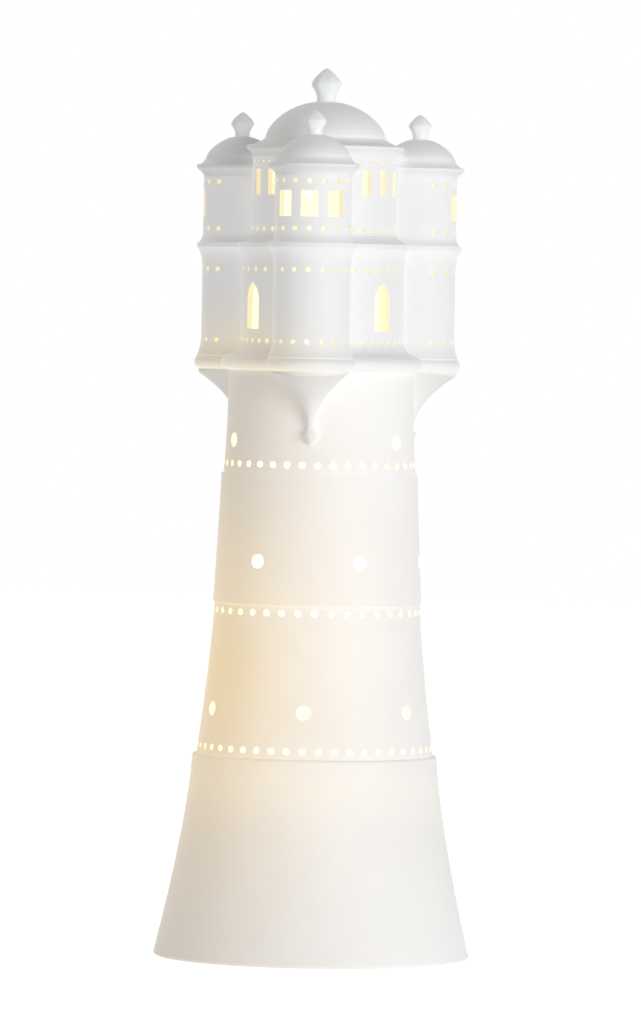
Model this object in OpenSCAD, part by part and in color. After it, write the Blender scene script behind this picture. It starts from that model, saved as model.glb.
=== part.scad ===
/* [Tower shaft] */
// Thickness of every porcelain wall
wall = 2.6; // [2:0.1:3.4]
// Radius of the skirt where it stands on the table
skirt_foot_r = 64; // [60:0.5:68]
// Radius of the skirt at its top rim
skirt_top_r = 49.6; // [48.8:0.1:51]
// Height of the skirt
skirt_h = 82.3; // [74:0.1:90]
// How far the lower shaft's foot stands back from the skirt's top rim
lower_foot_in = 1.7; // [1.3:0.1:2.2]
// Radius of the lower shaft at its top
lower_top_r = 41.6; // [41:0.1:42.2]
// Height of the lower shaft
lower_h = 61.4; // [56:0.1:70]
// How far the middle shaft's foot stands out from the lower shaft's top
middle_foot_out = 0.6; // [0:0.1:1.2]
// Radius of the middle shaft at its top
middle_top_r = 39.7; // [39.3:0.1:40.4]
// Height of the middle shaft
middle_h = 52.2; // [46:0.1:60]
// How far the upper shaft's foot stands back from the middle shaft's top
upper_foot_in = 0.8; // [0:0.1:1.4]
// Radius of the upper shaft at its top
upper_top_r = 37.5; // [37:0.1:38]
// Height of the upper shaft
upper_h = 41.7; // [40:0.1:48]

/* [Pierced holes] */
// Diameter of the small holes that run round the seams
pin_hole_d = 2.7; // [2:0.1:3.2]
// Number of holes in the row above the skirt
foot_row_count = 46; // [30:1:50]
// Number of holes in each of the other two rows on the shaft
seam_row_count = 39; // [24:1:42]
// Distance from a seam to the middle of the row beside the two lower seams
seam_row_gap = 3.2; // [2.6:0.1:5]
// Distance from the upper seam to the row above it
upper_row_gap = 4; // [3:0.1:6]
// Diameter of the round portholes
porthole_d = 5.8; // [3:0.1:7]
// Height of the portholes above the foot of the lower shaft
lower_porthole_z = 18.7; // [12:0.1:40]
// Height of the portholes above the foot of the middle shaft
middle_porthole_z = 17.3; // [8:0.1:40]
// Height of the portholes above the foot of the upper shaft
upper_porthole_z = 13.4; // [10:0.1:20]
// Diameter of the dots on the head
dot_d = 2; // [1.6:0.1:2.6]
// Angle between dots round an oriel
oriel_dot_turn = 22.5; // [20:0.5:30]

/* [Head] */
// Distance from the shaft's top edge out to an oriel's axis
oriel_axis_out = 4.5; // [3.4:0.1:5]
// Radius of an oriel's wall
oriel_r = 15.4; // [14.6:0.1:16]
// How far the watch room's wall stands back from the shaft's top edge
watch_in = 4.5; // [3.6:0.1:5.4]
// How far the lantern room's wall stands back from the watch room's
lantern_in = 3.6; // [2.8:0.1:4.2]
// How far the ring moulding stands out from the shaft's top edge
ring_out = 3.4; // [2.6:0.1:4.4]
// How far an oriel's own ring moulding stands out from its wall
oriel_ring_out = 2.6; // [1.6:0.1:3]
// How far the string moulding stands out from the watch room's wall
string_out = 1.7; // [1.2:0.1:2.4]
// How far an oriel's string moulding stands out from its wall
oriel_string_out = 2.3; // [1.6:0.1:2.8]
// Height of the watch room with its two mouldings
watch_h = 51.4; // [48:0.1:58]
// Height of an oriel's wall in the lantern room
oriel_wall_h = 26.8; // [25:0.1:30]
// Height of the lantern room's wall between the oriels
lantern_wall_h = 34.9; // [34.4:0.1:40]

/* [Windows] */
// Width of a window in an oriel
oriel_window_w = 7; // [5:0.1:9]
// Height of a window in an oriel
oriel_window_h = 10.4; // [7:0.1:11.4]
// Height of its sill above the floor of the lantern room
oriel_sill_z = 10.4; // [9:0.1:11.6]
// Angle between the three windows of an oriel
oriel_window_turn = 42; // [40:1:46]
// Width of a window in the lantern room's wall
lantern_window_w = 4.2; // [3:0.1:6]
// Height of a window in the lantern room's wall
lantern_window_h = 10.3; // [8:0.1:10.8]
// Height of its sill above the floor of the lantern room
lantern_sill_z = 19.4; // [17:0.1:20.4]
// Angle between the three windows of a bay
lantern_window_turn = 19; // [16:0.5:20]
// Width of the pointed window of a bay
arch_w = 9; // [6:0.1:10]
// Height of the pointed window from its sill to its point
arch_h = 18.8; // [14:0.1:21]
// Height of its sill above the underside of the watch room
arch_sill_z = 16.6; // [15:0.1:18]
// Angle from the front oriel to the pointed windows beside it
arch_turn = 53; // [50:0.5:62]

/* [Roofs and corbels] */
// How far the eaves of the oriel roofs stand out from the wall
oriel_eave_out = 3; // [2:0.1:3.6]
// Height of an oriel roof from its seat to the seat of its finial
oriel_roof_h = 16.4; // [15:0.1:20]
// Height of an oriel's finial
oriel_finial_h = 10.1; // [7:0.1:12]
// Widest radius of an oriel's finial
oriel_finial_r = 4.7; // [3.6:0.1:5.4]
// How far the eave of the main dome stands out from the wall
dome_eave_out = 2.6; // [2:0.1:3.4]
// Height of the main dome from its seat to the seat of its finial
dome_h = 22.4; // [20:0.1:26]
// Height of the main finial
main_finial_h = 13.7; // [10:0.1:17]
// Widest radius of the main finial
main_finial_r = 6.1; // [5:0.1:7]
// Height of the hollow cone of a corbel
corbel_h = 21.6; // [20:0.1:25]
// Radius of a corbel at its narrow end
corbel_neck_r = 1.7; // [1.4:0.1:2.4]
// Length of the drop under a corbel
drop_h = 8; // [6:0.1:11]
// Widest radius of the drop
drop_r = 3.3; // [2.6:0.1:4]
// Lean of a corbel towards the shaft, in degrees
corbel_lean = 6.5; // [5:0.5:8]

/* [Base pan] */
// Height of the rubber feet
foot_h = 3.5; // [3.4:0.1:5]
// Radius of a rubber foot
foot_r = 5; // [4:0.5:7]
// Distance from the pan's rim in to the middle of a rubber foot
foot_inset = 11.2; // [8:0.1:16]
// Thickness of the base pan
pan_t = 2; // [1.6:0.1:2.6]
// Height of the base pan's rim, measured from its underside
pan_rim_h = 14; // [13:0.5:18]
// Clearance between the base pan and the skirt round it
pan_gap = 0.35; // [0.3:0.05:0.8]
// Radius of the hole that the lead passes through
lead_hole_r = 3.1; // [2.6:0.1:3.4]
// Wall of the rubber bush round the lead
bush_wall = 1.2; // [1:0.1:1.4]
// How far the bush's two lips stand out
bush_lip = 0.9; // [0.6:0.1:1.2]
// Clearance round the bush in the notch of the skirt
notch_gap = 0.8; // [0.6:0.1:1.6]

/* [Lampholder] */
// Radius of the stem that carries the lampholder
stem_r = 6.5; // [6:0.1:8]
// Radius of the bore through the stem
stem_bore_r = 3.9; // [3:0.1:4]
// Height of the stem between the pan and the lampholder
stem_h = 45.8; // [30:0.1:52]
// Radius of the threaded ends of the stem
thread_r = 5; // [5:0.1:5.5]
// Length of the thread inside the lampholder
thread_l = 6; // [5:0.5:7]
// Thickness of the nut under the pan
nut_t = 2.6; // [2:0.1:2.8]
// Distance across the corners of the nut
nut_corner_d = 16; // [14:0.5:18]
// Thickness of the washer between the pan and the stem
washer_t = 0.8; // [0.6:0.1:1.2]
// Radius of the lampholder
holder_r = 14; // [13.5:0.1:16]
// Wall of the lampholder's mouldings
holder_wall = 2; // [1.6:0.1:2.4]
// Height of the lampholder's lower cap
holder_cap_h = 20; // [18:0.5:24]
// Height of the lampholder's upper shell
holder_shell_h = 22; // [20:0.5:24]
// Thickness of the insulating insert
insert_t = 10; // [8:0.5:10.5]
// Inside radius of the brass sleeve that takes the bulb
sleeve_r = 7.2; // [7.2:0.05:7.6]
// Thickness of the brass sleeve
sleeve_t = 0.4; // [0.3:0.05:0.6]

/* [Bulb] */
// Radius of the bulb's screw cap
cap_r = 6.95; // [6.8:0.05:6.95]
// Length of the bulb's screw cap
cap_l = 20; // [18:0.5:22]
// Radius of the bulb's round glass
globe_r = 22.5; // [18:0.5:24]
// Height of the middle of the round glass above the screw cap
globe_z = 31; // [30:0.5:34]
// Thickness of the glass
glass_t = 0.8; // [0.6:0.1:1.2]

/* [Hidden] */
$fn = 96;

// Radii of the shaft's feet, and of the head's walls and mouldings
lower_foot_r = skirt_top_r - lower_foot_in;
middle_foot_r = lower_top_r + middle_foot_out;
upper_foot_r = middle_top_r - upper_foot_in;
oriel_centre_r = upper_top_r + oriel_axis_out;
watch_r = upper_top_r - watch_in;
lantern_r = watch_r - lantern_in;
ring_r = upper_top_r + ring_out;
string_r = watch_r + string_out;

// Directions of the three oriels, and of the bays between them
front_turn = -90;
right_turn = 30;
left_turn = 150;
oriel_turns = [front_turn, right_turn, left_turn];
back_turn = 90;
bay_turn = 60;
eps = 0.01;
arc_steps = 8;

// Levels of the seams, from the table up
lower_z = skirt_h;
middle_z = lower_z + lower_h;
upper_z = middle_z + middle_h;
watch_z = upper_z + upper_h;
lantern_z = watch_z + watch_h;
oriel_roof_z = lantern_z + oriel_wall_h;
oriel_finial_z = oriel_roof_z + oriel_roof_h;
dome_z = lantern_z + lantern_wall_h;
main_finial_z = dome_z + dome_h;

// How quickly each shaft section curves in as it rises
skirt_curve = 1.35;
lower_curve = 1.3;
middle_curve = 1.1;
upper_curve = 2.2;

// Mouldings of the head
rim_round = 1.2;
seat_h = 3;
ring_h = 6.2;
flare_h = 6;
string_lip = 1.8;
string_cove_h = 6.4;
foot_flare_h = 4.4;
oriel_foot_flare_h = 3.7;
quirk = 0.15;
ledge_in = 2.3;
oriel_ledge_in = 1;
oriel_ring_h = 5.7;
oriel_ring_r = oriel_r + oriel_ring_out;
oriel_string_r = oriel_r + oriel_string_out;
ring_cavity_h = 11;
watch_low_dot_z = 11.8;
watch_high_dot_z = 40.6;
lantern_foot_in = 0.7;
lantern_dot_z = 5.6;
oriel_top_dot_z = 24.6;
eave_dot_drop = 2.1;
eave_dot_z = lantern_wall_h - eave_dot_drop;
close_dot_turn = 8;
wide_dot_turn = 10.5;
last_dot_turn = 32;
eave_dot_d = 1.1;

// Roofs: the eave's cove and lip, then a short flare and a dome, in shares of the wall's radius
oriel_cove_h = 3.5;
main_cove_h = 3.2;
eave_lip_h = 1.5;
oriel_flare_share = 0.27;
main_flare_share = 0.17;
oriel_dome_share = 0.94;
main_dome_share = 0.83;
oriel_dome_power = 1.45;
main_dome_power = 1.65;
dome_wall_share = 0.9;
main_seat_share = 0.68;
oriel_seat_out = 1.6;
finial_neck_share = 0.62;
finial_neck_ring = 0.35;

// Corbels and pointed windows
corbel_shoulder = 0.8;
corbel_bend = 1.85;
corbel_hollow_share = 0.62;
arch_head_share = 0.8;

// The base plate, lampholder and bulb
floor_z = foot_h + pan_t;
stem_z = floor_z + washer_t;
holder_z = stem_z + stem_h;
shell_z = holder_z + holder_cap_h;
insert_z = shell_z - insert_t;
rim_top_z = foot_h + pan_rim_h;
pan_rim_r = skirt_inside(rim_top_z) - pan_gap;
foot_ring_r = pan_rim_r - foot_inset;
bush_r = lead_hole_r + bush_wall;
bush_z = floor_z + bush_r + 0.4;
notch_r = bush_r + bush_lip + notch_gap;
bulb_z = shell_z + 3.4;
cap_z = bulb_z + 3;
globe_mid_z = cap_z + globe_z;
neck_z = cap_z + cap_l;
glass_neck_h = 7;
mount_r = 2;
mount_h = 12;
mount_top_z = neck_z + mount_h;
wire_r = 0.3;
wire_l = 13;
wire_lean = 22;

// Points of a curve from one radius and height to another; a bend above 1 is hollow
function curve(r0, z0, r1, z1, bend, steps = arc_steps) =
    [for (i = [0:steps]) let (t = i / steps) [r0 + (r1 - r0) * (1 - pow(1 - t, bend)), z0 + (z1 - z0) * t]];

// Points of an arc about a middle, from one angle to another
function arc(r, z, radius, from, to, steps = arc_steps) =
    [for (i = [0:steps]) let (a = from + (to - from) * i / steps) [r + radius * cos(a), z + radius * sin(a)]];

// Points of a rounded dome from its foot to its crown; power 2 is an ellipse
function dome(r0, z0, r1, height, power, steps = 10) =
    [for (i = [0:steps]) let (a = 90 * i / steps)
        [r1 + (r0 - r1) * pow(cos(a), 2 / power), z0 + height * pow(sin(a), 2 / power)]];

// The same points moved towards the axis, and the same points from last to first
function moved_in(points, distance) = [for (p = points) [p[0] - distance, p[1]]];
function backwards(points) = [for (i = [len(points) - 1:-1:0]) points[i]];

module turned(points) {
    rotate_extrude() polygon(points);
}

module oriel_at(turn, out = oriel_centre_r) {
    rotate([0, 0, turn]) translate([out, 0, 0]) children();
}

// Round holes bored towards the axis, from just inside a wall to just outside it
module hole_ring(count, z, radius, diameter, start = 0) {
    for (i = [0:count - 1])
        radial_hole(start + i * 360 / count, z, radius, diameter);
}

module radial_hole(turn, z, radius, diameter) {
    rotate([0, 0, turn]) translate([radius - 2 * wall, 0, z]) rotate([0, 90, 0])
        cylinder(h = 4 * wall, d = diameter, $fn = 24);
}

module porcelain() {
    color([0.95, 0.94, 0.92]) children();
}

// One section of the shaft: a curved wall with level ends
module shaft_section(foot, top, z, height, bend) {
    outside = curve(foot, z, top, z + height, bend);
    turned(concat(outside, backwards(moved_in(outside, wall))));
}

function shaft_radius(foot, top, height, bend, at) =
    foot + (top - foot) * (1 - pow(1 - at / height, bend));

module skirt() {
    outside = curve(skirt_foot_r, rim_round, skirt_top_r, skirt_h - rim_round, skirt_curve, 12);
    seat_r = lower_foot_r - wall;
    inside = [for (p = moved_in(outside, wall)) if (p[1] < skirt_h - 2 * seat_h) p];
    porcelain() difference() {
        turned(concat(
            arc(skirt_foot_r - rim_round, rim_round, rim_round, -90, 0, 4),
            outside,
            arc(skirt_top_r - rim_round, skirt_h - rim_round, rim_round, 0, 90, 4),
            [[seat_r, skirt_h], [seat_r, skirt_h - seat_h]],
            backwards(inside),
            [[skirt_foot_r - wall, 0]]
        ));
        lead_notch();
    }
}

// The arched notch at the back, where the lead leaves
module lead_notch() {
    rotate([0, 0, back_turn]) translate([skirt_foot_r - 4 * wall, 0, 0]) {
        translate([0, -notch_r, -eps]) cube([6 * wall, 2 * notch_r, bush_z + eps]);
        translate([0, 0, bush_z]) rotate([0, 90, 0]) cylinder(h = 6 * wall, r = notch_r);
    }
}

module lower_shaft() {
    top_row = lower_h - seam_row_gap;
    porthole_r = shaft_radius(lower_foot_r, lower_top_r, lower_h, lower_curve, lower_porthole_z);
    porcelain() difference() {
        shaft_section(lower_foot_r, lower_top_r, lower_z, lower_h, lower_curve);
        hole_ring(foot_row_count, lower_z + seam_row_gap, lower_foot_r, pin_hole_d, back_turn);
        hole_ring(seam_row_count, lower_z + top_row, lower_top_r, pin_hole_d, back_turn);
        hole_ring(6, lower_z + lower_porthole_z, porthole_r, porthole_d, front_turn);
    }
}

module middle_shaft() {
    porthole_r = shaft_radius(middle_foot_r, middle_top_r, middle_h, middle_curve, middle_porthole_z);
    porcelain() difference() {
        shaft_section(middle_foot_r, middle_top_r, middle_z, middle_h, middle_curve);
        hole_ring(6, middle_z + middle_porthole_z, porthole_r, porthole_d, front_turn + bay_turn / 2);
    }
}

module upper_shaft() {
    porthole_r = shaft_radius(upper_foot_r, upper_top_r, upper_h, upper_curve, upper_porthole_z);
    porcelain() difference() {
        shaft_section(upper_foot_r, upper_top_r, upper_z, upper_h, upper_curve);
        hole_ring(seam_row_count, upper_z + upper_row_gap, upper_foot_r, pin_hole_d, back_turn);
        hole_ring(3, upper_z + upper_porthole_z, porthole_r, porthole_d, front_turn + bay_turn);
    }
}

// Radius of the arc that leaves a wall upright and ends so far out and so far along it
function cove_radius(out, along) = (out * out + along * along) / (2 * out);

// Profile of a wall that spreads to a ledge at its foot; the arc ends at the ledge's edge
module spreading_foot(wall_r, edge_r, ledge_z, rise, below) {
    radius = cove_radius(edge_r - wall_r - quirk, rise);
    difference() {
        translate([0, ledge_z - below]) square([edge_r, rise + below]);
        translate([wall_r + quirk + radius, ledge_z + rise]) circle(r = radius);
    }
}

// Profile of a moulding that swells from a wall to a plain lip on top
module string_moulding(wall_r, edge_r, top_z) {
    radius = cove_radius(edge_r - wall_r - quirk, string_cove_h);
    cove_z = top_z - string_lip - string_cove_h;
    difference() {
        translate([0, cove_z]) square([edge_r, top_z - cove_z]);
        translate([wall_r + quirk + radius, cove_z]) circle(r = radius);
    }
}

// The outer form of the watch room about one axis: ring moulding, spreading foot, wall and string moulding
module watch_form(wall_r, ring, ledge, string, ring_height) {
    roll_r = ring_height / 2;
    rotate_extrude() {
        translate([0, watch_z]) square([wall_r, watch_h]);
        translate([0, watch_z]) square([ring - roll_r, ring_height]);
        translate([ring - roll_r, watch_z + roll_r]) circle(r = roll_r);
        spreading_foot(wall_r, ledge, watch_z + ring_height, flare_h, roll_r * 0.6);
        string_moulding(wall_r, string, lantern_z);
    }
}

// The hollow inside a round room; it widens at its foot over the given height
module room_hollow(radius, foot_radius, z, top, widen_h) {
    turned([
        [0, z - eps], [foot_radius, z - eps], [foot_radius, z + widen_h / 3],
        [radius, z + widen_h], [radius, top + eps], [0, top + eps]
    ]);
}

// The way from an oriel's hollow into the room, left open where their walls cross
module doorway(turn, room_r, z, height) {
    cross = (oriel_centre_r * oriel_centre_r + room_r * room_r - oriel_r * oriel_r) / (2 * oriel_centre_r);
    half = sqrt(room_r * room_r - cross * cross) - wall;
    rotate([0, 0, turn]) translate([cross - 2 * wall, -half, z - eps])
        cube([4 * wall, 2 * half, height + 2 * eps]);
}

module oriel_dots(turn, z) {
    oriel_at(turn) for (i = [-4:4])
        radial_hole(i * oriel_dot_turn, z, oriel_r, dot_d);
}

module bay_dots(z, radius, apart, diameter) {
    count = floor(last_dot_turn / apart);
    for (turn = oriel_turns, i = [-count:count])
        radial_hole(turn + bay_turn + i * apart, z, radius, diameter);
}

module pointed_window(turn) {
    sill = watch_z + arch_sill_z;
    spring = arch_h - arch_w * arch_head_share;
    rotate([0, 0, turn]) translate([watch_r - 2 * wall, 0, sill]) {
        translate([0, -arch_w / 2, 0]) cube([4 * wall, arch_w, spring]);
        intersection() {
            translate([0, -arch_w / 2, spring]) cube([4 * wall, arch_w, arch_w]);
            pointed_head(spring);
        }
    }
}

// The two arcs that meet in the window's point
module pointed_head(spring) {
    arch_r = (arch_w * arch_w / 4 + pow(arch_w * arch_head_share, 2)) / arch_w;
    intersection() {
        translate([0, arch_w / 2 - arch_r, spring]) rotate([0, 90, 0]) cylinder(h = 4 * wall, r = arch_r);
        translate([0, arch_r - arch_w / 2, spring]) rotate([0, 90, 0]) cylinder(h = 4 * wall, r = arch_r);
    }
}

module square_window(turn, radius, width, height, z) {
    rotate([0, 0, turn]) translate([radius - 2 * wall, -width / 2, z]) cube([4 * wall, width, height]);
}

module watch_room() {
    porcelain() difference() {
        union() {
            watch_form(watch_r, ring_r, ring_r - ledge_in, string_r, ring_h);
            for (turn = oriel_turns)
                oriel_at(turn)
                    watch_form(oriel_r, oriel_ring_r, oriel_ring_r - oriel_ledge_in, oriel_string_r,
                        oriel_ring_h);
        }
        room_hollow(watch_r - wall, upper_top_r - wall, watch_z, lantern_z, ring_cavity_h);
        for (turn = oriel_turns) {
            oriel_at(turn) room_hollow(oriel_r - wall, oriel_r - wall, watch_z, lantern_z, ring_cavity_h);
            doorway(turn, watch_r, watch_z, watch_h);
            oriel_dots(turn, watch_z + watch_low_dot_z);
            oriel_dots(turn, watch_z + watch_high_dot_z);
        }
        bay_dots(watch_z + watch_low_dot_z, watch_r, close_dot_turn, dot_d);
        bay_dots(watch_z + watch_high_dot_z, watch_r, wide_dot_turn, dot_d);
        pointed_window(front_turn - arch_turn);
        pointed_window(front_turn + arch_turn);
        pointed_window(back_turn);
    }
}

// The outer form of the lantern room about one axis: a spreading foot and a plain wall
module lantern_form(wall_r, foot, height, rise, steps) {
    turned(concat(
        [[0, lantern_z]],
        curve(foot, lantern_z, wall_r, lantern_z + rise, 2, steps),
        [[wall_r, lantern_z + height], [0, lantern_z + height]]
    ));
}

module lantern_room() {
    porcelain() difference() {
        union() {
            lantern_form(lantern_r, string_r - lantern_foot_in, lantern_wall_h, foot_flare_h, 4);
            for (turn = oriel_turns)
                oriel_at(turn)
                    lantern_form(oriel_r, oriel_string_r - lantern_foot_in, oriel_wall_h,
                        oriel_foot_flare_h, 3);
        }
        room_hollow(lantern_r - wall, string_r - lantern_foot_in - wall, lantern_z, dome_z, foot_flare_h);
        for (turn = oriel_turns) {
            oriel_at(turn) room_hollow(oriel_r - wall, oriel_r - wall, lantern_z, oriel_roof_z, foot_flare_h);
            doorway(turn, lantern_r, lantern_z, oriel_wall_h - wall);
            oriel_dots(turn, lantern_z + lantern_dot_z);
            oriel_dots(turn, lantern_z + oriel_top_dot_z);
            for (i = [-1:1])
                oriel_at(turn)
                    square_window(i * oriel_window_turn, oriel_r, oriel_window_w, oriel_window_h,
                        lantern_z + oriel_sill_z);
            for (i = [-1:1])
                square_window(turn + bay_turn + i * lantern_window_turn, lantern_r, lantern_window_w,
                    lantern_window_h, lantern_z + lantern_sill_z);
        }
        bay_dots(lantern_z + lantern_dot_z, lantern_r, wide_dot_turn, dot_d);
        bay_dots(lantern_z + eave_dot_z, lantern_r, close_dot_turn, eave_dot_d);
    }
}

// Outer points of a roof from its seat to its finial's seat: coved eave, lip, flare and rounded dome
function roof_points(wall_r, eave_r, z, height, cove_h, flare_share, top_r, dome_r, power) =
    let (flare_z = z + cove_h + eave_lip_h, dome_foot_z = dome_foot(z, height, cove_h, flare_share))
    concat(
        backwards(curve(eave_r, z + cove_h, wall_r, z, 1.8)),
        arc(eave_r - eave_lip_h / 2, z + cove_h + eave_lip_h / 2, eave_lip_h / 2, -30, 90, 4),
        curve(eave_r - eave_lip_h, flare_z, dome_r, dome_foot_z, 1.6, 3),
        dome(dome_r, dome_foot_z, top_r, z + height - dome_foot_z, power)
    );

// Height of the foot of a roof's dome
function dome_foot(z, height, cove_h, flare_share) =
    z + cove_h + eave_lip_h + (height - cove_h - eave_lip_h) * flare_share;

function main_dome_points() =
    roof_points(lantern_r, lantern_r + dome_eave_out, dome_z, dome_h, main_cove_h, main_flare_share,
        main_finial_r * main_seat_share, lantern_r * main_dome_share, main_dome_power);

// A roof with the hollow under it; the hollow's dome starts lower than the outer one
module hollow_roof(points, wall_r, z, height, cove_h, flare_share, dome_r, power) {
    inner_foot_z = dome_foot(z, height, cove_h, flare_share) - wall * 0.4;
    crown_z = z + height - wall;
    inside = concat(
        [[wall_r - wall, z], [wall_r - wall, z + cove_h]],
        dome(dome_r - wall * dome_wall_share, inner_foot_z, 0, crown_z - inner_foot_z, power)
    );
    turned(concat(points, [[0, z + height]], backwards(inside)));
}

module oriel_roof(turn) {
    dome_r = oriel_r * oriel_dome_share;
    points = roof_points(oriel_r, oriel_r + oriel_eave_out, oriel_roof_z, oriel_roof_h, oriel_cove_h,
        oriel_flare_share, corbel_neck_r + oriel_seat_out, dome_r, oriel_dome_power);
    porcelain() difference() {
        oriel_at(turn)
            hollow_roof(points, oriel_r, oriel_roof_z, oriel_roof_h, oriel_cove_h, oriel_flare_share,
                dome_r, oriel_dome_power);
        lantern_core();
    }
}

// The space that the lantern room's round wall and the main dome fill, solid through
module lantern_core() {
    turned(concat([[0, lantern_z], [lantern_r, lantern_z]], main_dome_points(), [[0, main_finial_z]]));
}

module main_dome() {
    dome_r = lantern_r * main_dome_share;
    porcelain()
        hollow_roof(main_dome_points(), lantern_r, dome_z, dome_h, main_cove_h, main_flare_share,
            dome_r, main_dome_power);
}

// A bud on a short neck, with a small flared foot
module finial(z, height, radius) {
    neck = radius * finial_neck_share;
    foot_top = z + height * 0.1;
    belly_z = z + height * 0.5;
    turned(concat(
        [[0, z], [neck + finial_neck_ring, z]],
        [[neck + finial_neck_ring / 2, foot_top], [neck, foot_top + finial_neck_ring]],
        curve(neck, z + height * 0.2, radius, belly_z, 1.5, 5),
        [for (i = [1:8]) let (t = i / 8)
            [radius * pow(1 - t, finial_neck_share), belly_z + height / 2 * (1 - pow(1 - t, 1.25))]]
    ));
}

module oriel_finial(turn) {
    porcelain() oriel_at(turn) finial(oriel_finial_z, oriel_finial_h, oriel_finial_r);
}

module main_finial() {
    porcelain() finial(main_finial_z, main_finial_h, main_finial_r);
}

// The hollow cone and drop under an oriel, fitted to the shaft
module corbel(turn) {
    top_r = oriel_r + corbel_shoulder;
    over = corbel_neck_r * 2;
    cone = backwards(curve(top_r, watch_z, corbel_neck_r, watch_z - corbel_h, corbel_bend, 10));
    hollow_h = corbel_h * corbel_hollow_share;
    hollow = backwards(curve(top_r - wall, watch_z, corbel_neck_r / 3, watch_z - hollow_h, corbel_bend));
    drop_z = watch_z - corbel_h;
    porcelain() intersection() {
        difference() {
            lean_towards_shaft(turn) turned(concat(
                [[0, drop_z - drop_h]],
                curve(0.5, drop_z - drop_h, drop_r, drop_z - drop_h * 0.45, 1.3, 4),
                curve(drop_r - 0.3, drop_z - drop_h * 0.35, corbel_neck_r, drop_z - drop_h * 0.12, 1.6, 4),
                cone,
                [[top_r, watch_z + over], [0, watch_z + over]]
            ));
            lean_towards_shaft(turn) turned(concat(
                [[0, watch_z - hollow_h]],
                hollow,
                [[top_r - wall, watch_z + 2 * over], [0, watch_z + 2 * over]]
            ));
            shaft_core();
        }
        translate([0, 0, upper_z]) cylinder(h = upper_h, r = 2 * oriel_centre_r);
    }
}

module lean_towards_shaft(turn) {
    rotate([0, 0, turn]) translate([oriel_centre_r, 0, watch_z]) rotate([0, corbel_lean, 0])
        translate([0, 0, -watch_z]) children();
}

// The space that the upper shaft fills, solid through
module shaft_core() {
    turned(concat(
        [[0, upper_z - eps]],
        curve(upper_foot_r, upper_z, upper_top_r, watch_z, upper_curve),
        [[upper_top_r, watch_z + eps], [0, watch_z + eps]]
    ));
}

// Inside radius of the skirt at a height above the table
function skirt_inside(z) =
    skirt_foot_r + (skirt_top_r - skirt_foot_r)
        * (1 - pow(1 - (z - rim_round) / (skirt_h - 2 * rim_round), skirt_curve)) - wall;

// The pan's plain turned body, with only the hole for the stem
module pan_body() {
    edge = pan_t / 2;
    turned([
        [thread_r, foot_h], [pan_rim_r - edge, foot_h], [pan_rim_r, foot_h + edge], [pan_rim_r, rim_top_z],
        [pan_rim_r - pan_t, rim_top_z], [pan_rim_r - pan_t, floor_z], [thread_r, floor_z]
    ]);
}

// The round way through the pan's rim that the bush sits in
module bush_way() {
    rotate([0, 0, back_turn]) translate([pan_rim_r - 3 * pan_t, 0, bush_z]) rotate([0, 90, 0])
        cylinder(h = 6 * pan_t, r = bush_r, $fn = 48);
}

module base_pan() {
    color([0.9, 0.89, 0.87]) difference() {
        pan_body();
        bush_way();
    }
}

// A rubber bush whose two lips clip over the pan's rim, cut to the rim's curve
module lead_bush() {
    lip_r = bush_r + bush_lip;
    sag = pan_rim_r - sqrt(pan_rim_r * pan_rim_r - lip_r * lip_r);
    color([0.35, 0.35, 0.36]) difference() {
        rotate([0, 0, back_turn]) translate([pan_rim_r - pan_t, 0, bush_z]) rotate([0, 90, 0])
            turned([
                [lead_hole_r, -bush_lip - sag], [lip_r, -bush_lip - sag], [lip_r, pan_t + bush_lip],
                [lead_hole_r, pan_t + bush_lip]
            ]);
        difference() {
            pan_body();
            bush_way();
        }
    }
}

module rubber_foot(turn) {
    color([0.8, 0.8, 0.79]) rotate([0, 0, turn]) translate([foot_ring_r, 0, 0]) turned([
        [0, 0], [foot_r - 0.6, 0], [foot_r, 0.6], [foot_r - 0.3, foot_h], [0, foot_h]
    ]);
}

module stem() {
    foot_z = foot_h - nut_t;
    side_hole_z = stem_z + lead_hole_r + 2;
    color([0.78, 0.78, 0.76]) difference() {
        turned([
            [stem_bore_r, foot_z], [thread_r, foot_z], [thread_r, stem_z], [stem_r, stem_z],
            [stem_r, holder_z], [thread_r, holder_z], [thread_r, holder_z + thread_l],
            [stem_bore_r, holder_z + thread_l]
        ]);
        rotate([0, 0, back_turn]) translate([0, 0, side_hole_z]) rotate([0, 90, 0])
            cylinder(h = 2 * stem_r, r = lead_hole_r, $fn = 48);
    }
}

module stem_washer() {
    color([0.72, 0.72, 0.7]) translate([0, 0, floor_z]) difference() {
        cylinder(h = washer_t, r = nut_corner_d / 2 + 1);
        translate([0, 0, -eps]) cylinder(h = washer_t + 2 * eps, r = thread_r);
    }
}

module stem_nut() {
    color([0.72, 0.72, 0.7]) translate([0, 0, foot_h - nut_t]) difference() {
        cylinder(h = nut_t, d = nut_corner_d, $fn = 6);
        translate([0, 0, -eps]) cylinder(h = nut_t + 2 * eps, r = thread_r);
    }
}

module holder_cap() {
    floor_t = 2.4;
    color([0.94, 0.94, 0.92]) turned([
        [thread_r, holder_z], [holder_r - 3, holder_z], [holder_r, holder_z + 3], [holder_r, shell_z],
        [holder_r - holder_wall, shell_z], [holder_r - holder_wall, holder_z + floor_t],
        [thread_r, holder_z + floor_t]
    ]);
}

module holder_insert() {
    screw_ring = 7;
    color([0.9, 0.9, 0.86]) difference() {
        translate([0, 0, insert_z]) cylinder(h = insert_t, r = holder_r - holder_wall);
        for (side = [0, 180]) rotate([0, 0, side]) translate([screw_ring, 0, insert_z - eps])
            cylinder(h = insert_t * 0.6, r = 1.5, $fn = 32);
    }
}

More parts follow.
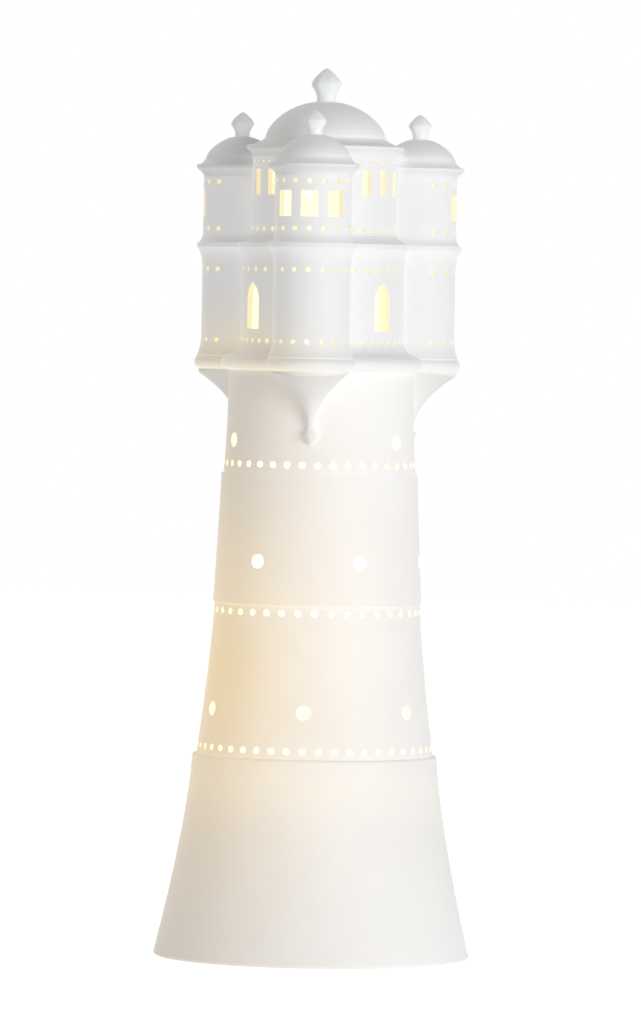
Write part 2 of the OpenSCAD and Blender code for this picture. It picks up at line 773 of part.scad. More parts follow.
module terminal_screws() {
    screw_ring = 7;
    head_t = 1.4;
    color([0.8, 0.68, 0.35]) for (side = [0, 180]) rotate([0, 0, side]) translate([screw_ring, 0, insert_z]) {
        difference() {
            translate([0, 0, -head_t]) cylinder(h = head_t, r = 2.6, $fn = 32);
            translate([-3, -0.35, -head_t - eps]) cube([6, 0.7, 0.6]);
        }
        cylinder(h = insert_t * 0.5, r = 1.5, $fn = 32);
    }
}

module holder_shell() {
    bore = sleeve_r + sleeve_t;
    top = shell_z + holder_shell_h;
    color([0.94, 0.94, 0.92]) difference() {
        turned([
            [bore, shell_z], [holder_r, shell_z], [holder_r, shell_z + 1.6], [holder_r - 1.2, shell_z + 3],
            [holder_r - 2.6, top - 1.5], [holder_r - 3.6, top], [bore, top]
        ]);
        side_contact_slot(0.3);
    }
}

module side_contact_slot(gap) {
    width = 3 + 2 * gap;
    rotate([0, 0, back_turn]) translate([sleeve_r + sleeve_t - eps, -width / 2, shell_z - eps])
        cube([1 + gap, width, 6 + gap]);
}

module holder_sleeve() {
    sleeve_h = holder_shell_h - 1;
    color([0.82, 0.7, 0.36]) translate([0, 0, shell_z]) difference() {
        cylinder(h = sleeve_h, r = sleeve_r + sleeve_t);
        translate([0, 0, -eps]) cylinder(h = sleeve_h + 2 * eps, r = sleeve_r);
    }
}

// The brass tongue beside the sleeve that feeds it
module side_contact() {
    color([0.82, 0.7, 0.36]) rotate([0, 0, back_turn])
        translate([sleeve_r + sleeve_t, -1.5, shell_z]) cube([0.6, 3, 6]);
}

// The sprung tongue under the bulb's contact
module centre_contact() {
    tongue_t = 0.5;
    rise = bulb_z - shell_z - 0.1;
    color([0.82, 0.7, 0.36]) translate([0, 0, shell_z]) rotate([90, 0, 0]) translate([0, 0, -2])
        linear_extrude(4) polygon([
            [-5.5, 0], [-1, 0], [-1, tongue_t], [-4.6, tongue_t], [-1.6, rise - tongue_t],
            [3.4, rise - tongue_t], [3.4, rise], [-1.9, rise], [-5.5, tongue_t]
        ]);
}

module bulb_cap() {
    ridge = 0.55;
    pitch = 2.82;
    turns = 5;
    color([0.8, 0.8, 0.78]) turned(concat(
        [[cap_r - 2, cap_z], [cap_r - ridge, cap_z + 0.8]],
        [for (i = [0:turns * 6]) let (z = cap_z + 1.2 + i * pitch / 6)
            [cap_r - ridge / 2 - ridge / 2 * cos(60 * i), z]],
        [[cap_r - ridge / 2, neck_z - 2], [cap_r, neck_z], [cap_r - 0.5, neck_z], [cap_r - 1.4, neck_z - 3],
            [cap_r - 1.4, cap_z + 1.6], [cap_r - 2.8, cap_z + 0.6], [cap_r - 2.8, cap_z]]
    ));
}

module bulb_insulator() {
    color([0.2, 0.2, 0.22]) turned([
        [2.2, cap_z - 2], [3, cap_z - 2], [cap_r - 2.8, cap_z], [cap_r - 2.8, cap_z + 0.6], [0, cap_z + 0.6],
        [0, cap_z - 1.4], [2.2, cap_z - 1.4]
    ]);
}

module bulb_contact() {
    color([0.75, 0.75, 0.74]) turned(concat(
        arc(0, cap_z - 1.4, 1.6, -90, 0, 5), [[1.6, cap_z - 1.4], [0, cap_z - 1.4]]
    ));
}

module bulb_glass() {
    neck_r = cap_r + 0.6;
    tangent = asin((globe_mid_z - neck_z - glass_neck_h) / globe_r);
    outside = concat(
        [[neck_r - 0.4, neck_z], [neck_r, neck_z + 1]],
        arc(0, globe_mid_z, globe_r, -tangent, 90, 16)
    );
    color([0.98, 0.95, 0.86]) turned(concat(
        outside,
        arc(0, globe_mid_z, globe_r - glass_t, 90, -tangent, 16),
        [[neck_r - glass_t, neck_z + 1], [neck_r - 0.4 - glass_t, neck_z]]
    ));
}

// The glass foot that holds the filament's wires
module bulb_mount() {
    color([0.86, 0.9, 0.9]) difference() {
        turned([
            [0, neck_z - 2], [5.2, neck_z - 2], [4.6, neck_z], [mount_r + 0.2, neck_z + 3],
            [mount_r, mount_top_z - 1], [0, mount_top_z]
        ]);
        filament_wires();
    }
}

// The two wires that hold the filament, standing in the glass foot
module filament_wires() {
    for (side = [-1, 1])
        translate([side * mount_r / 2, 0, mount_top_z - 4]) rotate([0, side * wire_lean, 0])
            cylinder(h = wire_l, r = wire_r, $fn = 16);
}

module filament() {
    reach = mount_r / 2 + wire_l * sin(wire_lean);
    color([0.95, 0.8, 0.5]) union() {
        filament_wires();
        translate([-reach, 0, mount_top_z - 4 + wire_l * cos(wire_lean) - wire_r]) rotate([0, 90, 0])
            cylinder(h = 2 * reach, r = 1.5 * wire_r, $fn = 16);
    }
}

skirt();
lower_shaft();
middle_shaft();
upper_shaft();
watch_room();
lantern_room();
corbel(front_turn);  // front_corbel
corbel(right_turn);  // right_corbel
corbel(left_turn);  // left_corbel
oriel_roof(front_turn);  // front_oriel_roof
oriel_roof(right_turn);  // right_oriel_roof
oriel_roof(left_turn);  // left_oriel_roof
oriel_finial(front_turn);  // front_oriel_finial
oriel_finial(right_turn);  // right_oriel_finial
oriel_finial(left_turn);  // left_oriel_finial
main_dome();
main_finial();
base_pan();
rubber_foot(front_turn);  // front_foot
rubber_foot(right_turn);  // right_foot
rubber_foot(left_turn);  // left_foot
lead_bush();
stem();
stem_washer();
stem_nut();
holder_cap();
holder_insert();
holder_shell();
holder_sleeve();
centre_contact();
side_contact();
terminal_screws();
bulb_glass();
bulb_cap();
bulb_insulator();
bulb_contact();
bulb_mount();
filament();
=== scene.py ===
import math

import bmesh
import bpy
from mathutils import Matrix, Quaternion, Vector


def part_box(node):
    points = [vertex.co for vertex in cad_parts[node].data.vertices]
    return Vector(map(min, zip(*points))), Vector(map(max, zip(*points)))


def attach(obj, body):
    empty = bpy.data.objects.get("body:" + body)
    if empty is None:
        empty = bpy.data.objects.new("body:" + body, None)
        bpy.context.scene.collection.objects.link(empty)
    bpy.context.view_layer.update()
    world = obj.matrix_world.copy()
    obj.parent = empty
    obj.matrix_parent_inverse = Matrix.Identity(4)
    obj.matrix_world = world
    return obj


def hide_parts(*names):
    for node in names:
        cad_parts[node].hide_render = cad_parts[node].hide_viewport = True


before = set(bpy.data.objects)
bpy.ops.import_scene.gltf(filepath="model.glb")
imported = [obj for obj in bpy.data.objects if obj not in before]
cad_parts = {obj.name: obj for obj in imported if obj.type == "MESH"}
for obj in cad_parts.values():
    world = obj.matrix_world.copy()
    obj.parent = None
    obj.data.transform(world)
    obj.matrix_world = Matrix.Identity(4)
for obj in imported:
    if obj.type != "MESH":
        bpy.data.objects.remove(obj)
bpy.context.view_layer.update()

MM = 0.001

# The upright direction, and the factors that lay a place flat on the floor
UP = (0, 0, 1)
LEVEL = (1, 1, 0)

# Wall of the porcelain, walls of the two rooms of the head, and its oriels, as in the CAD
WALL = 2.6 * MM
ROOM_WALLS = {"watch_room": 33.0 * MM, "lantern_room": 29.4 * MM}
ORIEL_OUT = 42.0 * MM
ORIEL_WALL_R = 15.4 * MM
ORIEL_TURNS = {"front": -90, "right": 30, "left": 150}

# Outer radius at the foot and at the top of each shaft section, and how quickly it curves in
SHAFT_SECTIONS = {
    "skirt": (64.0 * MM, 49.6 * MM, 1.35),
    "lower_shaft": (47.9 * MM, 41.6 * MM, 1.3),
    "middle_shaft": (42.2 * MM, 39.7 * MM, 1.1),
    "upper_shaft": (38.9 * MM, 37.5 * MM, 2.2),
}

# Outline of a finial from its seat to its tip, in shares of its radius and height
BUD_OUTLINE = [
    (0.67, 0.0), (0.635, 0.05), (0.62, 0.11), (0.635, 0.17), (0.70, 0.26),
    (0.82, 0.36), (0.93, 0.44), (0.985, 0.50), (1.0, 0.53), (0.965, 0.585),
    (0.86, 0.67), (0.70, 0.76), (0.50, 0.85), (0.27, 0.94), (0.10, 0.985),
]
# Its carved flats: how many, where they start, how soon they are full, and how flat they are
BUD_SIDES = 6
CARVE_FROM = 0.12
CARVE_BLEND = 0.25
CARVE_SHARE = 0.6

# Outline of the bulb's glass in the same shares: the neck, the height of the widest ring, and
# the steps of the round crown above it
GLASS_NECK = [
    (0.320, 0.0), (0.338, 0.028), (0.352, 0.055), (0.385, 0.078), (0.445, 0.098), (0.53, 0.122),
    (0.63, 0.152), (0.73, 0.19), (0.82, 0.235), (0.90, 0.288), (0.96, 0.345), (0.992, 0.39),
]
GLASS_WIDEST = 0.425
CROWN_STEPS = 16
TURN_STEPS = 48

# Colours of the bisque, times its whiteness; the head's is set greyer, to offset the painted light
# of its stronger glow
BISQUE_CLEAN = (1.017, 1.017, 1.014)
BISQUE_DULL = (0.983, 0.980, 0.974)
WHITENESS = 0.86
HEAD_WHITENESS = 0.60

# Painted light in the wall's emission, for the lamplight that the wall lets through: nearness to
# the bulb, then its colour
SHAFT_GLOW = [
    (0.12, (0.160, 0.152, 0.146)),
    (0.35, (0.168, 0.143, 0.114)),
    (0.60, (0.260, 0.190, 0.105)),
    (0.88, (0.372, 0.252, 0.085)),
    (1.00, (0.425, 0.240, 0.002)),
]
# Painted light on the head, corbels, roofs and finials: a neutral or cool emission that stands for
# the room's light as well as the lamp's
HEAD_GLOW = [(0.26, (0.310, 0.310, 0.312)), (0.33, (0.385, 0.330, 0.240))]
CORBEL_GLOW = [(0.12, (0.090, 0.088, 0.086)), (0.35, (0.110, 0.098, 0.085))]
ROOF_GLOW = [(0.12, (0.080, 0.088, 0.098)), (0.35, (0.090, 0.094, 0.100))]
FINIAL_GLOW = [(0.12, (0.108, 0.121, 0.140)), (0.35, (0.115, 0.122, 0.132))]
# The same light in a pierced opening: how deep in the wall, then its colour
REVEAL_GLOW = [
    (0.00, (0.47, 0.39, 0.17)),
    (0.70, (0.44, 0.32, 0.11)),
    (0.95, (0.48, 0.41, 0.21)),
]
# And on the inside of the wall: nearness to the bulb, then its colour
INSIDE_GLOW = [
    (0.12, (0.51, 0.46, 0.32)),
    (0.50, (0.66, 0.56, 0.34)),
    (0.80, (1.00, 0.88, 0.60)),
]
# Middle of the glow, how much each direction counts in the distance from it, and the distance
# at which the nearness is one half
GLOW_MIDDLE = Vector((-0.030, 0.0, 0.112))
GLOW_WEIGHTS = Vector((1.9, 0.6, 1.0))
GLOW_REACH = 0.095
# How much of the wall's light its level tops lose, and its undersides gain
TOP_SHADE = 0.5

# Depths between which a point passes from the outer face into an opening, and on to the inside
OPENING_DEPTHS = (0.06 * MM, 0.3 * MM)
INSIDE_DEPTHS = (0.9 * WALL, 0.97 * WALL)
# Heights that stay unlit at the foot of a pierced piece, where it stands on the next one, and
# for the skirt to above the pan; the light is full at LIT_FROM times this height
UNLIT_FOOT = 0.8 * MM
UNLIT_SKIRT_FOOT = 25 * MM
LIT_FROM = 1.6
# Distances below a pierced piece's top between which its light grows from none to full
TOP_DEPTHS = (0.8 * MM, 1.2 * MM)

# Heights from the globe's middle at which the bulb's light is that of its rim and of its middle
GLOBE_LIGHT = (26 * MM, 4 * MM)

# Strength of the room's light from level with the lamp and from straight above
HORIZON_LIGHT = 0.585
ZENITH_LIGHT = 0.17
# Its colour from the left, its colour from the right, and how far across the warm side reaches
LEFT_LIGHT = (1.0, 0.93, 0.79)
RIGHT_LIGHT = (0.96, 0.98, 1.0)
WARM_REACH = 0.3
# Softboxes: place, edge and watts, and the point of the lamp that they face
SOFTBOXES = {
    "key_softbox": ((1.27, -1.42, 0.45), 1.2, 19.5),
    "back_softbox": ((-0.9, 0.9, 1.2), 0.8, 4),
}
SOFTBOX_AIM = Vector((0, 0, 0.2))

# The floor: half its edge, its colour, and the light that lifts it to white where it is seen
FLOOR_REACH = 4
FLOOR_COLOUR = (0.93, 0.93, 0.93)
FLOOR_LIFT = 0.75

# The photograph's view: a long lens from a little right of the front oriel, at the watch room's
# height, with half the lean of the photographed tower as its roll
CAMERA_TURN = math.radians(6.0)
CAMERA_ROLL = math.radians(1.05)
CAMERA_DISTANCE = 3.2
CAMERA_HEIGHT = 0.262
AIM_HEIGHT = 0.1804
AIM_RIGHT = 0.67 * MM
LENS_LENGTH = 277.7
SENSOR_WIDTH = 36
VIEW_END = 50


class Finish:
    """A material in the making, with a short call for each kind of node that it uses."""

    def __init__(self, name, colour, roughness, metallic=0.0):
        self.material = bpy.data.materials.new(name)
        self.material.use_nodes = True
        self.tree = self.material.node_tree
        self.shader = self.tree.nodes["Principled BSDF"]
        self.shader.inputs["Base Color"].default_value = (*colour, 1)
        self.shader.inputs["Roughness"].default_value = roughness
        self.shader.inputs["Metallic"].default_value = metallic
        coordinates = self.tree.nodes.new("ShaderNodeTexCoord")
        self.place = coordinates.outputs["Object"]
        self.normal = coordinates.outputs["Normal"]

    def link(self, source, socket):
        self.tree.links.new(source, socket)

    def fill(self, socket, value):
        if isinstance(value, bpy.types.NodeSocket):
            self.link(value, socket)
        elif value is not None:
            socket.default_value = value

    def math(self, operation, first, second, clamp=False):
        node = self.tree.nodes.new("ShaderNodeMath")
        node.operation = operation
        node.use_clamp = clamp
        self.fill(node.inputs[0], first)
        self.fill(node.inputs[1], second)
        return node.outputs[0]

    def vector(self, operation, first, second=None):
        node = self.tree.nodes.new("ShaderNodeVectorMath")
        node.operation = operation
        self.fill(node.inputs[0], first)
        self.fill(node.inputs[1], second)
        is_number = operation in ("LENGTH", "DISTANCE", "DOT_PRODUCT")
        return node.outputs["Value" if is_number else "Vector"]

    def share(self, value, low, high):
        """0 at low, 1 at high, and smooth between."""
        node = self.tree.nodes.new("ShaderNodeMapRange")
        node.interpolation_type = "SMOOTHSTEP"
        self.fill(node.inputs["Value"], value)
        node.inputs["From Min"].default_value = low
        node.inputs["From Max"].default_value = high
        return node.outputs["Result"]

    def ramp(self, value, stops):
        node = self.tree.nodes.new("ShaderNodeValToRGB")
        elements = node.color_ramp.elements
        while len(elements) < len(stops):
            elements.new(0.5)
        for element, (position, colour) in zip(elements, stops):
            element.position = position
            element.color = (*colour, 1)
        self.fill(node.inputs["Fac"], value)
        return node.outputs["Color"]

    def mix(self, share, first, second):
        node = self.tree.nodes.new("ShaderNodeMix")
        node.data_type = "RGBA"
        self.fill(node.inputs["Factor"], share)
        self.fill(node.inputs["A"], (*first, 1) if isinstance(first, tuple) else first)
        self.fill(node.inputs["B"], (*second, 1) if isinstance(second, tuple) else second)
        return node.outputs["Result"]

    def noise(self, scale, detail=3.0, roughness=0.5):
        node = self.tree.nodes.new("ShaderNodeTexNoise")
        node.inputs["Scale"].default_value = scale
        node.inputs["Detail"].default_value = detail
        node.inputs["Roughness"].default_value = roughness
        self.link(self.place, node.inputs["Vector"])
        return node.outputs["Fac"]

    def bump(self, relief, strength, height, normal=None):
        node = self.tree.nodes.new("ShaderNodeBump")
        node.inputs["Strength"].default_value = strength
        node.inputs["Distance"].default_value = height
        self.link(relief, node.inputs["Height"])
        self.fill(node.inputs["Normal"], normal)
        return node.outputs["Normal"]

    def height(self):
        return self.vector("DOT_PRODUCT", self.place, UP)

    def facing_up(self):
        """1 on level tops, 0 on upright walls and -1 on undersides."""
        return self.vector("DOT_PRODUCT", self.normal, UP)

    def set_colour(self, source):
        self.link(source, self.shader.inputs["Base Color"])

    def set_roughness(self, source, low, high):
        node = self.tree.nodes.new("ShaderNodeMapRange")
        self.link(source, node.inputs["Value"])
        node.inputs["To Min"].default_value = low
        node.inputs["To Max"].default_value = high
        self.link(node.outputs["Result"], self.shader.inputs["Roughness"])

    def set_relief(self, normal):
        self.link(normal, self.shader.inputs["Normal"])

    def set_glow(self, source):
        self.link(source, self.shader.inputs["Emission Color"])
        self.shader.inputs["Emission Strength"].default_value = 1.0


def shaded(colour, share):
    return tuple(share * c for c in colour)


def on_circle(radius, turn):
    return radius * math.cos(math.radians(turn)), radius * math.sin(math.radians(turn))


def depth_in_shaft(finish, node):
    """How far a point lies inside the curved face of a shaft section."""
    foot_r, top_r, bend = SHAFT_SECTIONS[node]
    low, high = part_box(node)
    out = finish.vector("LENGTH", finish.vector("MULTIPLY", finish.place, LEVEL))
    down = finish.math("SUBTRACT", high.z, finish.height())
    curved = finish.math("POWER", finish.math("DIVIDE", down, high.z - low.z, clamp=True), bend)
    face = finish.math("ADD", finish.math("MULTIPLY", curved, foot_r - top_r), top_r)
    return finish.math("SUBTRACT", face, out)


def depth_in_head(finish, node):
    """How far a point lies inside the round walls of a room and its three oriels."""
    flat = finish.vector("MULTIPLY", finish.place, LEVEL)
    depth = finish.math("SUBTRACT", ROOM_WALLS[node], finish.vector("LENGTH", flat))
    for turn in ORIEL_TURNS.values():
        from_axis = finish.vector("DISTANCE", flat, (*on_circle(ORIEL_OUT, turn), 0))
        in_oriel = finish.math("SUBTRACT", ORIEL_WALL_R, from_axis)
        depth = finish.math("MAXIMUM", depth, in_oriel)
    return depth


def nearness_to_bulb(finish):
    """1 in the middle of the glow, and less with the square of the distance from it."""
    from_middle = finish.vector("SUBTRACT", finish.place, GLOW_MIDDLE)
    weighted = finish.vector("MULTIPLY", from_middle, GLOW_WEIGHTS)
    away = finish.math("DIVIDE", finish.vector("LENGTH", weighted), GLOW_REACH)
    return finish.math("DIVIDE", 1.0, finish.math("ADD", finish.math("MULTIPLY", away, away), 1.0))


def light_in_openings(finish, node, depth_of, nearness, glow):
    """The wall's glow, with the stronger light in the node's openings and on its inside."""
    low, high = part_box(node)
    unlit = UNLIT_SKIRT_FOOT if node == "skirt" else UNLIT_FOOT
    height, depth = finish.height(), depth_of(finish, node)
    above_foot = finish.share(height, low.z + unlit, low.z + LIT_FROM * unlit)
    below_top = finish.share(height, *(high.z - distance for distance in TOP_DEPTHS))
    between_ends = finish.math("MULTIPLY", above_foot, below_top)
    in_opening = finish.math("MULTIPLY", finish.share(depth, *OPENING_DEPTHS), between_ends)
    reveal = finish.ramp(finish.math("DIVIDE", depth, WALL, clamp=True), REVEAL_GLOW)
    inside = finish.ramp(nearness, INSIDE_GLOW)
    lit = finish.mix(finish.share(depth, *INSIDE_DEPTHS), reveal, inside)
    return finish.mix(in_opening, glow, lit)


def bisque(name, wall_glow, node=None, depth_of=None, whiteness=WHITENESS):
    """Unglazed white porcelain, with painted light in its emission for the lamplight it lets
    through, and more where it is pierced.
    """
    clean, dull = shaded(BISQUE_CLEAN, whiteness), shaded(BISQUE_DULL, whiteness)
    finish = Finish(name, clean, roughness=0.62)
    clouds = finish.noise(scale=26, detail=4, roughness=0.55)
    finish.set_colour(finish.mix(finish.share(clouds, 0.3, 0.7), dull, clean))
    finish.set_roughness(finish.noise(scale=180), 0.55, 0.70)
    uneven = finish.bump(finish.noise(scale=34, roughness=0.45), strength=0.35, height=1.2 * MM)
    tooth = finish.noise(scale=1400, detail=2)
    finish.set_relief(finish.bump(tooth, strength=0.12, height=0.2 * MM, normal=uneven))

    # Painted light: emission by nearness to the bulb, with painted shade on level tops and painted
    # light on undersides
    nearness = nearness_to_bulb(finish)
    shade = finish.math("SUBTRACT", 1.0, finish.math("MULTIPLY", finish.facing_up(), TOP_SHADE))
    glow = finish.vector("MULTIPLY", finish.ramp(nearness, wall_glow), shade)
    if node:
        glow = light_in_openings(finish, node, depth_of, nearness, glow)
    finish.set_glow(glow)
    return finish.material


def moulding(name, colour, roughness):
    """Moulded plastic, glass or ceramic: almost even, with a very fine tooth."""
    finish = Finish(name, colour, roughness)
    finish.set_colour(finish.mix(finish.noise(scale=60, detail=4), shaded(colour, 0.95), colour))
    finish.set_roughness(finish.noise(scale=400), roughness - 0.06, roughness + 0.08)
    tooth = finish.noise(scale=1800, detail=2)
    finish.set_relief(finish.bump(tooth, strength=0.2, height=0.1 * MM))
    return finish.material


def rubber(name, colour):
    """Matt rubber with pale dust on it."""
    finish = Finish(name, colour, roughness=0.8)
    dust = finish.share(finish.noise(scale=220, detail=5), 0.35, 0.75)
    finish.set_colour(finish.mix(dust, colour, shaded(colour, 1.25)))
    finish.set_roughness(finish.noise(scale=500), 0.7, 0.9)
    tooth = finish.noise(scale=1200, detail=4)
    finish.set_relief(finish.bump(tooth, strength=0.3, height=0.2 * MM))
    return finish.material


def metal(name, colour, roughness):
    """Plated or rolled metal with dull patches."""
    finish = Finish(name, colour, roughness, metallic=1.0)
    bright = finish.share(finish.noise(scale=140, detail=5, roughness=0.6), 0.35, 0.7)
    finish.set_colour(finish.mix(bright, shaded(colour, 0.82), colour))
    finish.set_roughness(finish.noise(scale=700, detail=4), roughness - 0.08, roughness + 0.12)
    finish.set_relief(finish.bump(finish.noise(scale=2500), strength=0.15, height=0.08 * MM))
    return finish.material


def lit_glass(name, rim, middle):
    """Glass frosted inside, with the filament's light in it, brightest at the globe's middle."""
    finish = Finish(name, (0.30, 0.28, 0.24), roughness=0.25)
    low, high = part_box("bulb_glass")
    globe_middle = Vector((0, 0, high.z - (high.x - low.x) / 2))
    away = finish.vector("DISTANCE", finish.vector("MULTIPLY", finish.place, UP), globe_middle)
    finish.set_glow(finish.mix(finish.share(away, *GLOBE_LIGHT), rim, middle))
    finish.set_roughness(finish.noise(scale=300), 0.2, 0.32)
    return finish.material


def dress(material, *nodes):
    for node in nodes:
        for material_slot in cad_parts[node].material_slots:
            material_slot.material = material


def turned_outline(outline):
    """A closed body of height 1, turned from an outline that runs from foot to tip."""
    mesh = bmesh.new()
    foot = mesh.verts.new((0, 0, outline[0][1]))
    tip = mesh.verts.new((0, 0, 1))
    points = [foot] + [mesh.verts.new((r, 0, z)) for r, z in outline] + [tip]
    edges = [mesh.edges.new(pair) for pair in zip(points, points[1:])]
    bmesh.ops.spin(mesh, geom=points + edges, cent=(0, 0, 0), axis=UP, angle=math.tau,
                   steps=TURN_STEPS, use_merge=True)
    bmesh.ops.remove_doubles(mesh, verts=mesh.verts, dist=1e-5)
    bmesh.ops.recalc_face_normals(mesh, faces=mesh.faces)
    return mesh


def in_place_of(node, name, mesh, body):
    """A smooth visual piece that stands for a CAD node and rides on its body."""
    data = bpy.data.meshes.new(name)
    mesh.to_mesh(data)
    mesh.free()
    for face in data.polygons:
        face.use_smooth = True
    piece = bpy.data.objects.new(name, data)
    bpy.context.scene.collection.objects.link(piece)
    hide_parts(node)
    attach(piece, body)
    return piece


def size_of(node):
    """A round node's radius and height, and the level of its foot."""
    low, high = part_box(node)
    return (high.x - low.x) / 2, high.z - low.z, low.z


def carved_finial(node, turn, out):
    """A closed bud with flattened sides on a round neck, in the place of the plain turned one."""
    radius, height, foot = size_of(node)
    mesh = turned_outline(BUD_OUTLINE)
    side = math.tau / BUD_SIDES
    for vertex in mesh.verts:
        x, y, z = vertex.co
        from_middle = math.atan2(y, x) % side - side / 2
        flat = math.cos(side / 2) / math.cos(from_middle)
        carved = CARVE_SHARE * min(1, max(0, (z - CARVE_FROM) / CARVE_BLEND))
        width = radius * (1 - carved * (1 - flat))
        vertex.co = Vector((x * width, y * width, z * height))
    bmesh.ops.translate(mesh, verts=mesh.verts, vec=(*on_circle(out, turn), foot))
    return in_place_of(node, node + "_carved", mesh, "shell")


def blown_glass():
    """The bulb's glass in one smooth curve from neck to crown, as wide and as tall as the CAD's."""
    radius, height, foot = size_of("bulb_glass")
    angles = [math.pi / 2 * step / CROWN_STEPS for step in range(CROWN_STEPS)]
    crown = [(math.cos(a), GLASS_WIDEST + (1 - GLASS_WIDEST) * math.sin(a)) for a in angles]
    mesh = turned_outline(GLASS_NECK + crown)
    bmesh.ops.scale(mesh, verts=mesh.verts, vec=(radius, radius, height))
    bmesh.ops.translate(mesh, verts=mesh.verts, vec=(0, 0, foot))
    return in_place_of("bulb_glass", "bulb_glass_blown", mesh, "bulb")


def dress_shell():
    roof = bisque("bisque_roof", ROOF_GLOW)
    corbel = bisque("bisque_corbel", CORBEL_GLOW)
    finial = bisque("bisque_finial", FINIAL_GLOW)
    dress(roof, "main_dome")
    dress(finial, "main_finial")
    for side, turn in ORIEL_TURNS.items():
        dress(corbel, side + "_corbel")
        dress(roof, side + "_oriel_roof")
        dress(finial, side + "_oriel_finial")
        carved_finial(side + "_oriel_finial", turn, ORIEL_OUT).data.materials.append(finial)
    carved_finial("main_finial", 0, 0).data.materials.append(finial)
    for node in SHAFT_SECTIONS:
        dress(bisque("bisque_" + node, SHAFT_GLOW, node, depth_in_shaft), node)
    for node in ROOM_WALLS:
        dress(bisque("bisque_" + node, HEAD_GLOW, node, depth_in_head, HEAD_WHITENESS), node)


def dress_base_and_bulb():
    dress(moulding("white_moulding", (0.80, 0.79, 0.77), 0.5), "base_pan")
    dress(moulding("holder_moulding", (0.84, 0.84, 0.82), 0.28), "holder_cap", "holder_shell")
    dress(moulding("ivory_insulator", (0.78, 0.75, 0.66), 0.55), "holder_insert")
    dress(moulding("black_insulator", (0.03, 0.03, 0.035), 0.2), "bulb_insulator")
    dress(rubber("grey_rubber", (0.30, 0.30, 0.295)), "front_foot", "right_foot", "left_foot")
    dress(rubber("dark_rubber", (0.035, 0.035, 0.037)), "lead_bush")
    dress(metal("zinc_steel", (0.62, 0.62, 0.60), 0.35), "stem", "stem_washer", "stem_nut")
    dress(metal("contact_brass", (0.78, 0.58, 0.25), 0.25),
          "holder_sleeve", "centre_contact", "side_contact", "terminal_screws")
    dress(metal("bulb_metal", (0.70, 0.70, 0.68), 0.28), "bulb_cap", "bulb_contact")
    warm_glass = lit_glass("warm_glass", rim=(0.66, 0.44, 0.20), middle=(1.02, 0.88, 0.64))
    dress(warm_glass, "bulb_glass")
    blown_glass().data.materials.append(warm_glass)
    dress(lit_glass("clear_glass", rim=(0.8, 0.6, 0.35), middle=(0.9, 0.75, 0.5)), "bulb_mount")
    dress(lit_glass("filament_wire", rim=(1.6, 0.9, 0.35), middle=(2.0, 1.4, 0.7)), "filament")


def seen(tree):
    """1 for what the camera sees, also in gloss and through glass, and 0 for light on its way."""
    path = tree.nodes.new("ShaderNodeLightPath")
    answer = path.outputs["Is Camera Ray"]
    for ray in ("Is Glossy Ray", "Is Transmission Ray"):
        either = tree.nodes.new("ShaderNodeMath")
        either.operation = "MAXIMUM"
        tree.links.new(answer, either.inputs[0])
        tree.links.new(path.outputs[ray], either.inputs[1])
        answer = either.outputs[0]
    return answer


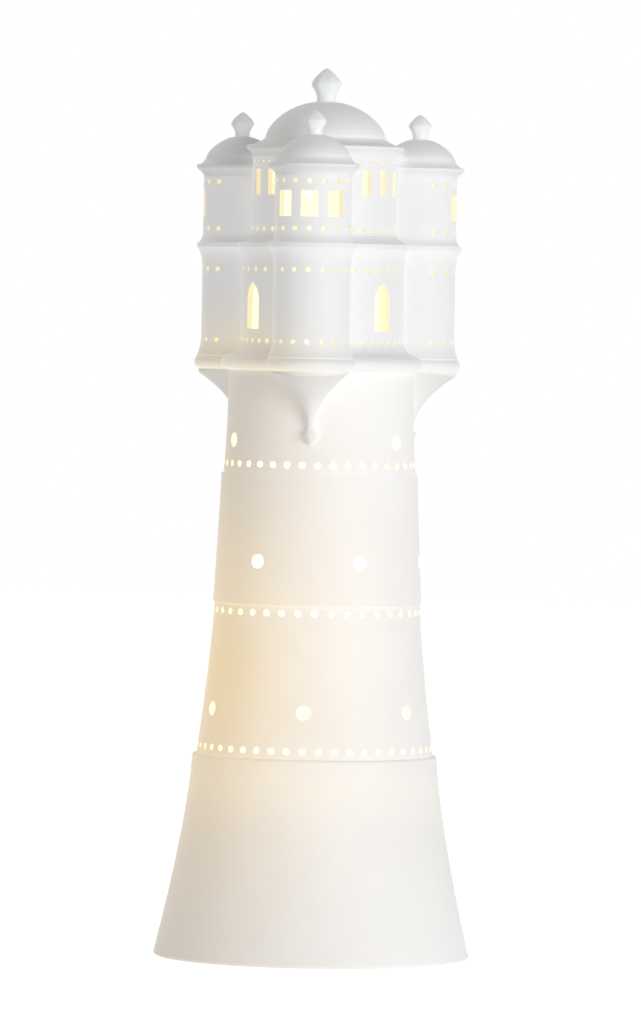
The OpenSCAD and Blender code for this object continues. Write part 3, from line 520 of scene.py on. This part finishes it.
def light_room():
    """A plain white backdrop, soft light that is strongest from the sides, and two softboxes."""
    world = bpy.data.worlds.new("white_room")
    world.use_nodes = True
    bpy.context.scene.world = world
    tree = world.node_tree
    tree.nodes.clear()
    direction = tree.nodes.new("ShaderNodeSeparateXYZ")
    tree.links.new(tree.nodes.new("ShaderNodeTexCoord").outputs["Generated"], direction.inputs[0])

    ambient = tree.nodes.new("ShaderNodeBackground")
    dimmer = tree.nodes.new("ShaderNodeMapRange")
    dimmer.inputs["To Min"].default_value = HORIZON_LIGHT
    dimmer.inputs["To Max"].default_value = ZENITH_LIGHT
    tree.links.new(direction.outputs["Z"], dimmer.inputs["Value"])
    tree.links.new(dimmer.outputs["Result"], ambient.inputs["Strength"])
    rightness = tree.nodes.new("ShaderNodeMapRange")
    rightness.inputs["From Min"].default_value = -1.0
    rightness.inputs["From Max"].default_value = WARM_REACH
    tree.links.new(direction.outputs["X"], rightness.inputs["Value"])
    tint = tree.nodes.new("ShaderNodeMix")
    tint.data_type = "RGBA"
    tint.inputs["A"].default_value = (*LEFT_LIGHT, 1)
    tint.inputs["B"].default_value = (*RIGHT_LIGHT, 1)
    tree.links.new(rightness.outputs["Result"], tint.inputs["Factor"])
    tree.links.new(tint.outputs["Result"], ambient.inputs["Color"])

    backdrop = tree.nodes.new("ShaderNodeBackground")
    backdrop.inputs["Color"].default_value = (1, 1, 1, 1)
    mix = tree.nodes.new("ShaderNodeMixShader")
    tree.links.new(seen(tree), mix.inputs["Fac"])
    tree.links.new(ambient.outputs[0], mix.inputs[1])
    tree.links.new(backdrop.outputs[0], mix.inputs[2])
    out = tree.nodes.new("ShaderNodeOutputWorld")
    tree.links.new(mix.outputs[0], out.inputs["Surface"])

    for name, (place, edge, watts) in SOFTBOXES.items():
        softbox(name, Vector(place), edge, watts)


def softbox(name, place, edge, watts):
    lamp = bpy.data.lights.new(name, "AREA")
    lamp.shape = "SQUARE"
    lamp.size = edge
    lamp.energy = watts
    box = bpy.data.objects.new(name, lamp)
    box.location = place
    box.rotation_euler = (SOFTBOX_AIM - place).to_track_quat("-Z", "Y").to_euler()
    bpy.context.scene.collection.objects.link(box)


def lay_floor():
    mesh = bmesh.new()
    bmesh.ops.create_grid(mesh, x_segments=1, y_segments=1, size=FLOOR_REACH)
    data = bpy.data.meshes.new("floor")
    mesh.to_mesh(data)
    mesh.free()
    floor = bpy.data.objects.new("floor", data)
    bpy.context.scene.collection.objects.link(floor)
    finish = Finish("pale_floor", FLOOR_COLOUR, roughness=0.9)
    lift = finish.math("MULTIPLY", seen(finish.tree), FLOOR_LIFT)
    finish.shader.inputs["Specular IOR Level"].default_value = 0
    finish.shader.inputs["Emission Color"].default_value = (1, 1, 1, 1)
    finish.link(lift, finish.shader.inputs["Emission Strength"])
    data.materials.append(finish.material)


def set_camera():
    across, away = math.sin(CAMERA_TURN), math.cos(CAMERA_TURN)
    eye = Vector((across * CAMERA_DISTANCE, -away * CAMERA_DISTANCE, CAMERA_HEIGHT))
    aim = Vector((away * AIM_RIGHT, across * AIM_RIGHT, AIM_HEIGHT))
    lens = bpy.data.cameras.new("photo_camera")
    lens.sensor_width = SENSOR_WIDTH
    lens.lens = LENS_LENGTH
    lens.clip_end = VIEW_END
    camera = bpy.data.objects.new("photo_camera", lens)
    camera.location = eye
    camera.rotation_mode = "QUATERNION"
    roll = Quaternion(UP, CAMERA_ROLL)
    camera.rotation_quaternion = (aim - eye).to_track_quat("-Z", "Y") @ roll
    bpy.context.scene.collection.objects.link(camera)
    bpy.context.scene.camera = camera


bpy.context.scene.view_settings.view_transform = "Standard"
set_camera()
light_room()
lay_floor()
dress_shell()
dress_base_and_bulb()
